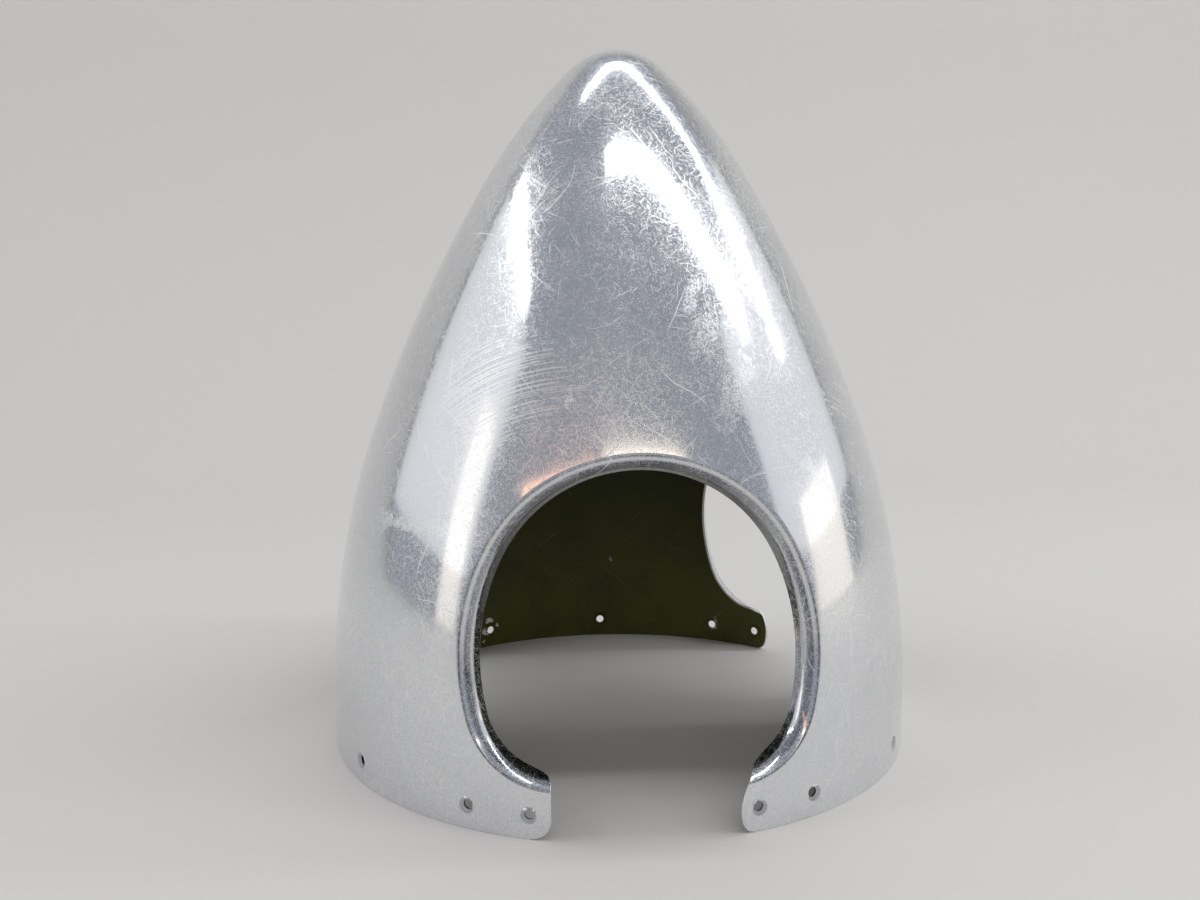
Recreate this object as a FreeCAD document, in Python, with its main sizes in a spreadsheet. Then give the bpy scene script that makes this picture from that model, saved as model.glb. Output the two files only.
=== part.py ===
import FreeCAD, Part
import math
import os

import Sketcher
from FreeCAD import Rotation, Vector

# A propeller spinner for three blades: one spun aluminium dome, open at its base.
# Frame: origin on the spin axis in the plane of the base edge, +Z up to the nose.
# The middle of one blade opening faces -Y. Millimetres and degrees.

SIZES = {
    "baseRadius": 170.0,         # outside radius of the straight skirt
    "sheetThickness": 1.6,
    "skirtHeight": 25.0,         # straight part of the skirt
    "lowArcRadius": 474.0,       # the outline is three arcs and a nose, each tangent to the next
    "lowArcTop": 186.0,
    "midArcRadius": 753.0,
    "midArcTop": 335.0,
    "topArcRadius": 273.0,
    "noseRadius": 37.6,
    "openingTop": 182.5,         # a blade opening, seen square on, inside its turned-in rim
    "openingHalfWidth": 86.5,
    "openingWaist": 86.0,        # height of its widest place
    "openingSideRadius": 112.0,
    "openingCornerRadius": 36.4,
    "openingFoot": 31.3,
    "rimDepth": 12.5,            # of the rim's free edge, square below the skin's outside
    "rimAngle": 82.0,            # how far the rim has turned in at its free edge
    "bevelAngle": 45.0,          # how far it has turned in just past the crease in the skin
    "bevelReach": 5.5,           # the crease's distance out from the free edge
    "creaseRadius": 3.0,         # outside radius of the crease
    "rollRadius": 13.0,          # outside radius between bevel and rim
    "notchLeft": 46.2,           # the gap from the opening down to the base
    "notchRight": 47.6,
    "notchTop": 60.0,
    "squareTabCorner": 11.0,     # bottom corner of the straight-sided tab
    "roundTabRadius": 27.0,
    "roundTabHeight": 12.3,      # height of the round tab's centre
    "roundTabTop": 29.4,         # where the round tab runs into the rim
    "roundTabCorner": 7.0,
    "squareRimEnd": 13.5,        # rounding of the rim's free corner beside each tab
    "roundRimEnd": 16.8,
    "rimEndBottom": 21.0,
    "screwHeight": 12.5,
    "tabScrewAngle": 19.7,       # from the middle of the opening
    "skirtScrewAngle": 31.2,
    "screwHoleRadius": 2.65,
    "dimpleRadius": 4.3,
    "dimpleDepth": 1.4,
    "bossReach": 2.6,            # how far in from the skin a dimple's boss reaches
    "blankRun": 20.0,            # the blank runs on below the base until it is trimmed
    "cutterOutside": 178.0,      # how far from the spin axis an opening's cutters start
    "rimInside": 110.0,          # and where the rim's and the bevel's end
    "bevelInside": 129.0,
    "clearance": 10.0,           # how far the other cutters stand clear
}
ARC_RADII = ("lowArcRadius", "midArcRadius", "topArcRadius", "noseRadius")
OPENINGS = 3
CURVE_POINTS = 40                # points that carry the closed edge of an opening
FINE_STEPS = 20                  # steps between two of them, for the edge's direction
FIX_TOLERANCE = 0.0001
DIMPLE_SLOPE = "((sizes.dimpleRadius - sizes.screwHoleRadius) / sizes.dimpleDepth)"


def makeSheet(doc):
    sheet = doc.addObject("Spreadsheet::Sheet", "sizes")
    for row, (name, value) in enumerate(SIZES.items(), start=1):
        sheet.set("A%d" % row, name)
        sheet.set("B%d" % row, str(value))
        sheet.setAlias("B%d" % row, name)
    doc.recompute()
    return sheet


def bind(target, expressions):
    for name, expression in expressions.items():
        target.setExpression(name, expression)


def compound(doc, name, links):
    group = doc.addObject("Part::Compound", name)
    group.Links = links
    return group


def cut(doc, name, base, tool):
    result = doc.addObject("Part::Cut", name)
    result.Base = base
    result.Tool = tool
    return result


def around(index):
    # rotation that carries the -Y opening onto another one
    return Rotation(Vector(0, 0, 1), 360.0 * index / OPENINGS)


# --- the outline -------------------------------------------------------------

def outlineArcs(size):
    # centre radius, centre height, arc radius, angle at its start and end, from the skirt up
    lowRise = math.asin((size.lowArcTop - size.skirtHeight) / size.lowArcRadius)
    low = (size.baseRadius - size.lowArcRadius, size.skirtHeight)
    step = size.lowArcRadius - size.midArcRadius
    mid = (low[0] + step * math.cos(lowRise), low[1] + step * math.sin(lowRise))
    midRise = math.asin((size.midArcTop - mid[1]) / size.midArcRadius)
    step = size.midArcRadius - size.topArcRadius
    top = (mid[0] + step * math.cos(midRise), mid[1] + step * math.sin(midRise))
    step = size.topArcRadius - size.noseRadius
    topRise = math.acos(-top[0] / step)
    nose = (0.0, top[1] + step * math.sin(topRise))
    return [
        (*low, size.lowArcRadius, 0.0, lowRise),
        (*mid, size.midArcRadius, lowRise, midRise),
        (*top, size.topArcRadius, midRise, topRise),
        (*nose, size.noseRadius, topRise, math.pi / 2),
    ]


def addOutline(sketch, size, inset):
    # skirt, three arcs, nose, axis and foot, drawn an inset inside the skin
    wall = size.baseRadius - inset
    up = Vector(0, 0, 1)
    sketch.addGeometry(Part.LineSegment(Vector(wall, -size.blankRun, 0), Vector(wall, size.skirtHeight, 0)))
    arcs = outlineArcs(size)
    for radius, height, arcRadius, start, end in arcs:
        circle = Part.Circle(Vector(radius, height, 0), up, arcRadius - inset)
        sketch.addGeometry(Part.ArcOfCircle(circle, start, end))
    tip = Vector(0, arcs[-1][1] + size.noseRadius - inset, 0)
    foot = Vector(0, -size.blankRun, 0)
    sketch.addGeometry(Part.LineSegment(tip, foot))
    sketch.addGeometry(Part.LineSegment(foot, Vector(wall, -size.blankRun, 0)))


def drive(sketch, name, kind, where, value, expression):
    index = sketch.addConstraint(Sketcher.Constraint(kind, *where, value))
    sketch.renameConstraint(index, name)
    sketch.setExpression("Constraints." + name, expression)


def outlineSketch(doc, size, name, insetName):
    # insetName is a cell of the sheet, or None for the skin itself
    inset = getattr(size, insetName) if insetName else 0.0
    less = " - sizes.%s" % insetName if insetName else ""
    sketch = doc.addObject("Sketcher::SketchObject", name)
    # drawn on the +Y side, so that the seam of the turned form meets no opening
    sketch.Placement = FreeCAD.Placement(Vector(), Rotation(Vector(1, 1, 1), 120))
    addOutline(sketch, size, inset)
    skirt, low, mid, top, nose, axis, foot = range(7)
    start, end, centre = 1, 2, 3
    origin, upAxis = -1, -2
    for first, second in ((skirt, low), (low, mid), (mid, top), (top, nose)):
        sketch.addConstraint(Sketcher.Constraint("Tangent", first, end, second, start))
    for first, second in ((nose, axis), (axis, foot)):
        sketch.addConstraint(Sketcher.Constraint("Coincident", first, end, second, start))
    sketch.addConstraint(Sketcher.Constraint("Coincident", foot, end, skirt, start))
    sketch.addConstraint(Sketcher.Constraint("Vertical", skirt))
    sketch.addConstraint(Sketcher.Constraint("Vertical", axis))
    sketch.addConstraint(Sketcher.Constraint("Horizontal", foot))
    sketch.addConstraint(Sketcher.Constraint("PointOnObject", axis, end, upAxis))
    sketch.addConstraint(Sketcher.Constraint("PointOnObject", nose, centre, upAxis))

    drive(sketch, "wall", "DistanceX", (origin, 1, foot, end), size.baseRadius - inset,
          "sizes.baseRadius" + less)
    drive(sketch, "run", "DistanceY", (foot, end, origin, 1), size.blankRun, "sizes.blankRun")
    drive(sketch, "skirtTop", "DistanceY", (origin, 1, skirt, end), size.skirtHeight,
          "sizes.skirtHeight")
    arcs = outlineArcs(size)
    for edge, arc, radiusName in zip((low, mid, top, nose), arcs, ARC_RADII):
        drive(sketch, radiusName, "Radius", (edge,), arc[2] - inset, "sizes.%s%s" % (radiusName, less))
    lowRise = "(sizes.lowArcTop - sizes.skirtHeight) / sizes.lowArcRadius"
    midCentre = "(sizes.skirtHeight + (sizes.lowArcRadius - sizes.midArcRadius) * %s)" % lowRise
    midRise = "(sizes.midArcTop - %s) / sizes.midArcRadius" % midCentre
    drive(sketch, "lowTop", "DistanceY", (origin, 1, low, end),
          arcs[0][1] + (arcs[0][2] - inset) * math.sin(arcs[0][4]),
          "sizes.skirtHeight + (sizes.lowArcRadius%s) * %s" % (less, lowRise))
    drive(sketch, "midTop", "DistanceY", (origin, 1, mid, end),
          arcs[1][1] + (arcs[1][2] - inset) * math.sin(arcs[1][4]),
          "%s + (sizes.midArcRadius%s) * %s" % (midCentre, less, midRise))
    return sketch


def turnedForm(doc, size, name, insetName=None):
    sketch = outlineSketch(doc, size, name + "Outline", insetName)
    form = doc.addObject("Part::Revolution", name)
    form.Source = sketch
    form.Axis = Vector(0, 0, 1)
    form.Base = Vector()
    form.Angle = 360.0
    form.Solid = True
    return form


# --- the blade openings ------------------------------------------------------

def skinAt(size, height):
    # outside radius of the skin at a height, and how far its normal points up
    for radius, centreHeight, arcRadius, start, end in outlineArcs(size):
        if height <= centreHeight + arcRadius * math.sin(end):
            rise = math.asin(max(0.0, height - centreHeight) / arcRadius)
            return radius + arcRadius * math.cos(rise), rise


def openingWire(size):
    # the outline seen square on: a top arc, then side arc, corner, foot and the same again
    cornerLevel = size.openingFoot + size.openingCornerRadius
    side = Vector(size.openingHalfWidth - size.openingSideRadius, size.openingWaist, 0)
    reach = size.openingSideRadius - size.openingCornerRadius
    cornerRise = -math.asin((size.openingWaist - cornerLevel) / reach)
    corner = Vector(side.x + reach * math.cos(cornerRise), cornerLevel, 0)
    rise = size.openingTop - size.openingWaist
    spare = size.openingSideRadius ** 2 - side.x ** 2 - rise ** 2
    topRadius = spare / (2 * (size.openingSideRadius - rise))
    topRise = math.asin((rise - topRadius) / (size.openingSideRadius - topRadius))
    top = Vector(0, size.openingTop - topRadius, 0)
    rightHalf = [
        (top, topRadius, topRise, math.pi / 2),
        (side, size.openingSideRadius, cornerRise, topRise),
        (corner, size.openingCornerRadius, -math.pi / 2, cornerRise),
    ]
    up = Vector(0, 0, 1)
    edges = []
    for centre, radius, start, end in rightHalf:
        edges.append(Part.ArcOfCircle(Part.Circle(centre, up, radius), start, end).toShape())
    foot = Vector(corner.x, size.openingFoot, 0)
    edges.append(Part.makeLine(foot, Vector(-foot.x, foot.y, 0)))
    for centre, radius, start, end in reversed(rightHalf):
        mirrored = Part.Circle(Vector(-centre.x, centre.y, 0), up, radius)
        edges.append(Part.ArcOfCircle(mirrored, math.pi - end, math.pi - start).toShape())
    return Part.Wire(edges)


def skinPoint(size, flat):
    # the point of the skin behind a point of the flat outline, and the skin's normal there
    radius, rise = skinAt(size, flat.y)
    y = -math.sqrt(radius ** 2 - flat.x ** 2)
    level = math.cos(rise) / radius
    return Vector(flat.x, y, flat.y), Vector(flat.x * level, y * level, math.sin(rise))


def ruledCutter(size, reach, turn, inside):
    # its wall passes a reach outside the opening's edge and has turned in from the skin by an angle
    starts, ends = [], []
    flats = openingWire(size).discretize(Number=CURVE_POINTS * FINE_STEPS + 1)[:-1]
    for index in range(0, len(flats), FINE_STEPS):
        flat = flats[index]
        point, normal = skinPoint(size, flat)
        before = skinPoint(size, flats[index - 1])[0]
        after = skinPoint(size, flats[(index + 1) % len(flats)])[0]
        outward = normal.cross(after - before).normalize()
        if outward.dot(Vector(flat.x, 0, flat.y - size.openingWaist)) < 0:
            outward = -outward
        point = point + outward * reach
        inward = -normal * math.sin(turn) - outward * math.cos(turn)
        starts.append(point + inward * ((-size.cutterOutside - point.y) / inward.y))
        ends.append(point + inward * ((-inside - point.y) / inward.y))
    knots = [index / CURVE_POINTS for index in range(CURVE_POINTS + 1)]
    edges = []
    for points in (starts, ends):
        curve = Part.BSplineCurve()
        curve.interpolate(Points=points, PeriodicFlag=True, Parameters=knots)
        edges.append(curve.toShape())
    caps = [Part.Face(Part.Wire(edge)) for edge in edges]
    wall = Part.makeRuledSurface(*edges)
    solid = Part.Solid(Part.Shell([wall] + caps))
    solid.fix(FIX_TOLERANCE, FIX_TOLERANCE, FIX_TOLERANCE)
    return solid


def openingCutters(doc, size, name, inset):
    # two for each opening, the rim's wall and the bevel above it, moved back by an inset of sheet
    rimTurn, bevelTurn = math.radians(size.rimAngle), math.radians(size.bevelAngle)
    rimReach = size.rimDepth / math.tan(rimTurn) + inset / math.sin(rimTurn)
    bevelReach = size.bevelReach + inset / math.sin(bevelTurn)
    walls = [("Rim", rimReach, rimTurn, size.rimInside),
             ("Bevel", bevelReach, bevelTurn, size.bevelInside)]
    cutters = []
    for index in range(OPENINGS):
        for part, reach, turn, inside in walls:
            cutter = doc.addObject("Part::Feature", "%s%s%d" % (name, part, index + 1))
            cutter.Shape = ruledCutter(size, reach, turn, inside)
            cutter.Placement = FreeCAD.Placement(Vector(), around(index))
            cutters.append(cutter)
    return compound(doc, name, cutters)


def bendEdges(size, shape, crease, roll):
    # edges of the cutters' walls to be rounded: shallow ones at the skin, deeper ones below the bevel
    found = {}
    for face in shape.Faces:
        if not isinstance(face.Surface, Part.BSplineSurface):
            continue
        for edge in face.Edges:
            middle = edge.valueAt((edge.FirstParameter + edge.LastParameter) / 2)
            radius, rise = skinAt(size, middle.z)
            depth = (radius - math.hypot(middle.x, middle.y)) * math.cos(rise)
            if depth < size.rimDepth and not edge.isSeam(face):
                number = next(i for i, e in enumerate(shape.Edges, start=1) if e.isSame(edge))
                found[number] = crease if depth < size.creaseRadius else roll
    return found


def openedForm(doc, size, name, form, inset):
    cutters = openingCutters(doc, size, name + "Openings", inset)
    opened = cut(doc, name + "Opened", form, cutters)
    doc.recompute()
    rounded = doc.addObject("Part::Fillet", name + "Rounded")
    rounded.Base = opened
    edges = bendEdges(size, opened.Shape, size.creaseRadius - inset, size.rollRadius - inset)
    rounded.Edges = [(number, radius, radius) for number, radius in sorted(edges.items())]
    return rounded


# --- tabs and the notch between them -----------------------------------------

def notchSketch(doc, size, name):
    # seen from outside: the straight-sided tab on the left, the round one on the right
    sketch = doc.addObject("Sketcher::SketchObject", name)
    up = Vector(0, 0, 1)
    side, corner = size.notchLeft, size.squareTabCorner
    tab, tabCorner = size.roundTabRadius, size.roundTabCorner
    tabX, tabZ = size.notchRight + tab, size.roundTabHeight
    upper = math.pi - math.asin((size.roundTabTop - tabZ) / tab)
    lower = math.pi + math.asin((tabZ - tabCorner) / (tab - tabCorner))
    upperX = tabX + tab * math.cos(upper)
    cornerX = tabX + (tab - tabCorner) * math.cos(lower)
    low, high = -size.blankRun, size.notchTop
    geometry = [
        Part.LineSegment(Vector(-side, high, 0), Vector(-side, corner, 0)),
        Part.ArcOfCircle(Part.Circle(Vector(-side - corner, corner, 0), up, corner), -math.pi / 2, 0),
        Part.LineSegment(Vector(-side - corner, 0, 0), Vector(-side - corner, low, 0)),
        Part.LineSegment(Vector(-side - corner, low, 0), Vector(cornerX, low, 0)),
        Part.LineSegment(Vector(cornerX, low, 0), Vector(cornerX, 0, 0)),
        Part.ArcOfCircle(Part.Circle(Vector(cornerX, tabCorner, 0), up, tabCorner), lower, 1.5 * math.pi),
        Part.ArcOfCircle(Part.Circle(Vector(tabX, tabZ, 0), up, tab), upper, lower),
        Part.LineSegment(Vector(upperX, size.roundTabTop, 0), Vector(upperX, high, 0)),
        Part.LineSegment(Vector(upperX, high, 0), Vector(-side, high, 0)),
    ]
    for item in geometry:
        sketch.addGeometry(item)
    left, leftCorner, leftFoot, foot, rightFoot, rightCorner, roundTab, right, top = range(9)
    start, end, centre = 1, 2, 3
    origin = -1
    joins = [(left, end, leftCorner, end), (leftCorner, start, leftFoot, start),
             (leftFoot, end, foot, start), (foot, end, rightFoot, start),
             (rightFoot, end, rightCorner, end), (rightCorner, start, roundTab, end),
             (roundTab, start, right, start), (right, end, top, start), (top, end, left, start)]
    smooth = [(left, end), (rightCorner, start)]
    for join in joins:
        kind = "Tangent" if join[:2] in smooth else "Coincident"
        sketch.addConstraint(Sketcher.Constraint(kind, *join))
    for line in (left, leftFoot, rightFoot, right):
        sketch.addConstraint(Sketcher.Constraint("Vertical", line))
    for line in (foot, top):
        sketch.addConstraint(Sketcher.Constraint("Horizontal", line))
    # each corner arc ends on the base line, straight below its centre
    for arc, point in ((leftCorner, start), (rightCorner, end)):
        sketch.addConstraint(Sketcher.Constraint("Vertical", arc, point, arc, centre))
        sketch.addConstraint(Sketcher.Constraint("PointOnObject", arc, point, origin))
    drive(sketch, "side", "DistanceX", (left, start, origin, 1), side, "sizes.notchLeft")
    drive(sketch, "notchTop", "DistanceY", (origin, 1, left, start), high, "sizes.notchTop")
    drive(sketch, "corner", "Radius", (leftCorner,), corner, "sizes.squareTabCorner")
    drive(sketch, "run", "DistanceY", (foot, start, origin, 1), size.blankRun, "sizes.blankRun")
    drive(sketch, "tab", "Radius", (roundTab,), tab, "sizes.roundTabRadius")
    drive(sketch, "tabCorner", "Radius", (rightCorner,), tabCorner, "sizes.roundTabCorner")
    drive(sketch, "tabX", "DistanceX", (origin, 1, roundTab, centre), tabX,
          "sizes.notchRight + sizes.roundTabRadius")
    drive(sketch, "tabHeight", "DistanceY", (origin, 1, roundTab, centre), tabZ, "sizes.roundTabHeight")
    drive(sketch, "tabTop", "DistanceY", (origin, 1, roundTab, start), size.roundTabTop,
          "sizes.roundTabTop")
    return sketch


def notchCutters(doc, size):
    cutters = []
    upright = Rotation(Vector(1, 0, 0), 90)
    for index in range(OPENINGS):
        sketch = notchSketch(doc, size, "notchOutline%d" % (index + 1))
        sketch.Placement = FreeCAD.Placement(Vector(), around(index) * upright)
        cutter = doc.addObject("Part::Extrusion", "notch%d" % (index + 1))
        cutter.Base = sketch
        cutter.DirMode = "Normal"
        cutter.Solid = True
        cutter.setExpression("LengthFwd", "sizes.baseRadius + sizes.clearance")
        cutters.append(cutter)
    return cutters


def rimEndCutter(doc, size, name, radiusName, side, turn):
    # leaves the rim's free corner round where the notch cuts the rim off: a slice of a ring that
    # meets the notch's side and the rim's free edge, both at a tangent
    radius = getattr(size, radiusName)
    endX = size.notchLeft
    if side > 0:
        rise = math.asin((size.roundTabTop - size.roundTabHeight) / size.roundTabRadius)
        endX = size.notchRight + size.roundTabRadius * (1 - math.cos(rise))
    fromAxis = size.baseRadius - size.rimDepth + radius
    span = math.acos((endX + radius) / fromAxis)
    centre = Vector(side * (endX + radius), -fromAxis * math.sin(span), size.rimEndBottom)
    ringSlice = doc.addObject("Part::Cylinder", name + "Slice")
    bind(ringSlice, {"Radius": "2 * sizes." + radiusName, "Height": "sizes.notchTop"})
    ringSlice.Angle = math.degrees(span)
    start = 0.0 if side < 0 else 180.0 - math.degrees(span)
    ringSlice.Placement = FreeCAD.Placement(centre, Rotation(Vector(0, 0, 1), start))
    post = doc.addObject("Part::Cylinder", name + "Post")
    bind(post, {"Radius": "sizes." + radiusName, "Height": "sizes.notchTop"})
    post.Placement.Base = centre
    cutter = cut(doc, name, ringSlice, post)
    cutter.Placement.Rotation = turn
    return cutter


def rimEndCutters(doc, size):
    cutters = []
    for index in range(OPENINGS):
        for label, radiusName, side in (("square", "squareRimEnd", -1), ("round", "roundRimEnd", 1)):
            name = "%sRimEnd%d" % (label, index + 1)
            cutters.append(rimEndCutter(doc, size, name, radiusName, side, around(index)))
    return cutters


# --- dimpled screw holes -----------------------------------------------------

def screwAngles(size):
    # from the middle of the -Y opening: two beside each side of an opening, one between openings
    pair = (size.tabScrewAngle, size.skirtScrewAngle)
    offsets = [-pair[1], -pair[0], pair[0], pair[1], 180.0 / OPENINGS]
    return [360.0 * index / OPENINGS + offset for index in range(OPENINGS) for offset in offsets]


def radialPlacement(size, angle, distance):
    # local +Z points at the spin axis, from a point on the screw row
    turn = Rotation(Vector(0, 0, 1), angle)
    start = turn.multVec(Vector(0, -distance, size.screwHeight))
    return FreeCAD.Placement(start, turn * Rotation(Vector(1, 0, 0), -90))


def radialCone(doc, size, name, angle, distance, expressions):
    cone = doc.addObject("Part::Cone", name)
    bind(cone, expressions)
    cone.Placement = radialPlacement(size, angle, distance)
    return cone


def dimpleBosses(doc, size):
    # the sheet pushed in round each hole: a cone one sheet thickness outside the recess
    offset = "sizes.sheetThickness * sqrt(1 + %s ^ 2)" % DIMPLE_SLOPE
    start = "sizes.sheetThickness / 2"
    shape = {
        "Radius1": "sizes.dimpleRadius + %s - %s * %s" % (offset, DIMPLE_SLOPE, start),
        "Radius2": "sizes.dimpleRadius + %s - %s * sizes.bossReach" % (offset, DIMPLE_SLOPE),
        "Height": "sizes.bossReach - " + start,
    }
    distance = size.baseRadius - size.sheetThickness / 2
    return [radialCone(doc, size, "boss%d" % (number + 1), angle, distance, shape)
            for number, angle in enumerate(screwAngles(size))]


def screwCutters(doc, size):
    margin = "sizes.sheetThickness"
    shape = {
        "Radius1": "sizes.dimpleRadius + %s * %s" % (DIMPLE_SLOPE, margin),
        "Radius2": "sizes.screwHoleRadius",
        "Height": "sizes.dimpleDepth + " + margin,
    }
    cutters = []
    for number, angle in enumerate(screwAngles(size), start=1):
        distance = size.baseRadius + size.sheetThickness
        cutters.append(radialCone(doc, size, "recess%d" % number, angle, distance, shape))
        hole = doc.addObject("Part::Cylinder", "screwHole%d" % number)
        bind(hole, {"Radius": "sizes.screwHoleRadius", "Height": "sizes.clearance"})
        hole.Placement = radialPlacement(size, angle, size.baseRadius)
        cutters.append(hole)
    return cutters


# --- the whole shell ---------------------------------------------------------

def baseTrim(doc, size):
    trim = doc.addObject("Part::Cylinder", "baseTrim")
    bind(trim, {"Radius": "sizes.baseRadius + sizes.clearance",
                "Height": "sizes.blankRun + sizes.clearance"})
    trim.Placement.Base = Vector(0, 0, -size.blankRun - size.clearance)
    return trim


def spinnerShell(doc, size):
    outside = turnedForm(doc, size, "outside")
    inside = turnedForm(doc, size, "inside", "sheetThickness")
    rimFloor = turnedForm(doc, size, "rimFloor", "rimDepth")
    outside = openedForm(doc, size, "outside", outside, 0.0)
    inside = openedForm(doc, size, "inside", inside, size.sheetThickness)
    formed = cut(doc, "formed", cut(doc, "hollow", outside, inside), rimFloor)
    dimpled = doc.addObject("Part::MultiFuse", "dimpled")
    dimpled.Shapes = [formed] + dimpleBosses(doc, size)
    cutters = notchCutters(doc, size) + rimEndCutters(doc, size) + screwCutters(doc, size)
    cutters.append(baseTrim(doc, size))
    shell = cut(doc, "spinner_shell", dimpled, compound(doc, "trimming", cutters))
    shell.Label = "spinner_shell"
    doc.recompute()
    return shell


def check(doc, pieces):
    for item in doc.Objects:
        if "Invalid" in item.State or "Error" in item.State:
            raise RuntimeError("%s did not compute" % item.Name)
    for piece in pieces:
        shape = piece.Shape
        if shape.isNull() or not shape.isValid() or len(shape.Solids) != 1:
            raise RuntimeError("%s is not one valid solid" % piece.Label)
        print("%s volume %.0f" % (piece.Label, shape.Volume))


def main():
    doc = FreeCAD.newDocument("spinner")
    size = makeSheet(doc)
    pieces = [spinnerShell(doc, size)]
    check(doc, pieces)
    os.makedirs("parts", exist_ok=True)
    for piece in pieces:
        piece.Shape.exportStep("parts/%s.step" % piece.Label)


main()
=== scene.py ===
import bpy
import bmesh
import math
import numpy as np
from mathutils import Matrix, Vector
from mathutils.geometry import delaunay_2d_cdt


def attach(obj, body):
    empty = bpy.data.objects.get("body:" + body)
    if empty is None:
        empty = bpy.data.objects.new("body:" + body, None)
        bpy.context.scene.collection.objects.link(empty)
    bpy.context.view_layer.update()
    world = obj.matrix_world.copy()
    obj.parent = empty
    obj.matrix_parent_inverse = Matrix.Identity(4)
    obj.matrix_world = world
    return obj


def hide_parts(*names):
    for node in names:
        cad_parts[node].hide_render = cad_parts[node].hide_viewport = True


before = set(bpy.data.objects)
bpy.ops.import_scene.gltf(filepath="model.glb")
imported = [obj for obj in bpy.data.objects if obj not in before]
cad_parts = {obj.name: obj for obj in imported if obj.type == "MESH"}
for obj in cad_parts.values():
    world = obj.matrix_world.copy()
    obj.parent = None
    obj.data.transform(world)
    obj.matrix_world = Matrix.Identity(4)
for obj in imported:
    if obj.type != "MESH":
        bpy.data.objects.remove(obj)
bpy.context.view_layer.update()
print("frame loaded")


def addObject(name, data):
    made = bpy.data.objects.new(name, data)
    bpy.context.scene.collection.objects.link(made)
    return made


def setPlace(thing, spot, side, back):
    # side and back are the directions of its own X and Z
    turn = Matrix((side, back.cross(side), back)).transposed()
    thing.matrix_world = Matrix.Translation(spot) @ turn.to_4x4()


# camera

cameraSet = {
    "place": (-0.0607, -0.7515, 0.290),
    "heading": 3.83,      # degrees from +Y toward +X
    "tiltDown": 9.25,
    "roll": -0.35,
    "lens": 38.4,
    "sensor": 36.0,
    "nearest": 0.02,
}


def makeCamera(values):
    data = bpy.data.cameras.new("camera")
    data.lens = values["lens"]
    data.sensor_width = values["sensor"]
    data.clip_start = values["nearest"]
    camera = addObject("camera", data)
    heading, tilt, roll = (math.radians(values[name]) for name in ("heading", "tiltDown", "roll"))
    level = math.cos(tilt)
    forward = Vector((math.sin(heading) * level, math.cos(heading) * level, -math.sin(tilt)))
    side = forward.cross(Vector((0, 0, 1))).normalized()
    right = side * math.cos(roll) + side.cross(forward) * math.sin(roll)
    setPlace(camera, values["place"], right, -forward)
    bpy.context.scene.camera = camera


makeCamera(cameraSet)
print("camera placed")


# the shell's outline, worked out in millimetres

millimetre = 0.001

outline = {
    "baseRadius": 170.0,
    "skirtHeight": 25.0,                      # straight part above the base
    "arcRadii": (474.0, 753.0, 273.0, 37.6),  # from the skirt up to the nose
    "arcTops": (186.0, 335.0),
    "sheet": 1.6,
    "edgeRounding": 0.3,                      # on every cut edge of the sheet
    "edgeRows": (0.0, 0.35, 0.7, 1.0),        # the rounding's rows, as shares of its turn
}


def outlineArcs(v):
    # each arc: centre radius and height, radius, angle and run along the outline at its start
    radii = v["arcRadii"]
    last = len(radii) - 1
    centre, rise = (v["baseRadius"] - radii[0], v["skirtHeight"]), 0.0
    arcs, run = [], v["skirtHeight"]
    for number, radius in enumerate(radii):
        start = rise
        if number < len(v["arcTops"]):
            rise = math.asin((v["arcTops"][number] - centre[1]) / radius)
        elif number < last:    # the nose takes over, centred on the axis
            rise = math.acos(-centre[0] / (radius - radii[last]))
        else:
            rise = math.pi / 2
        arcs.append((*centre, radius, start, run))
        run += radius * (rise - start)
        if number < last:
            step = radius - radii[number + 1]
            centre = (centre[0] + step * math.cos(rise), centre[1] + step * math.sin(rise))
    return arcs, run


arcs, outlineRun = outlineArcs(outline)


def skin(angle, run, inset):
    # points and normals of the turned sheet, inset below its outside; angle 0 faces -Y
    angle, run = np.broadcast_arrays(np.asarray(angle, float), np.asarray(run, float))
    radius = np.full(run.shape, outline["baseRadius"] - inset)
    height, rise = run.copy(), np.zeros(run.shape)
    for centreRadius, centreHeight, arcRadius, start, first in arcs:
        on = run > first
        turn = start + (run[on] - first) / arcRadius
        radius[on] = centreRadius + (arcRadius - inset) * np.cos(turn)
        height[on] = centreHeight + (arcRadius - inset) * np.sin(turn)
        rise[on] = turn
    points = np.stack([radius * np.sin(angle), -radius * np.cos(angle), height], -1)
    normals = np.stack([np.cos(rise) * np.sin(angle), -np.cos(rise) * np.cos(angle), np.sin(rise)], -1)
    return points, normals


def skinPlace(points):
    # angle, run along the outline and depth below the outside of any points near the sheet
    radius = np.hypot(points[..., 0], points[..., 1])
    height = points[..., 2]
    run, depth = height.copy(), outline["baseRadius"] - radius
    for centreRadius, centreHeight, arcRadius, start, first in arcs:
        across, up = radius - centreRadius, height - centreHeight
        turn = np.arctan2(up, across)
        on = (turn > start) & (height > outline["skirtHeight"])
        run = np.where(on, first + arcRadius * (turn - start), run)
        depth = np.where(on, arcRadius - np.hypot(across, up), depth)
    return np.arctan2(points[..., 0], -points[..., 1]), run, depth


def skinAtHeight(x, height, inset):
    # the point of the sheet with this x and height, on the -Y side
    radius = np.full(np.shape(height), outline["baseRadius"] - inset)
    for centreRadius, centreHeight, arcRadius, start, _ in arcs:
        on = height > centreHeight + (arcRadius - inset) * math.sin(start)
        reach = np.sqrt(np.maximum((arcRadius - inset) ** 2 - (height - centreHeight) ** 2, 0.0))
        radius = np.where(on, centreRadius + reach, radius)
    return np.stack([x, -np.sqrt(radius ** 2 - x ** 2), height], -1)


# the blade openings and their turned-in rims

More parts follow.
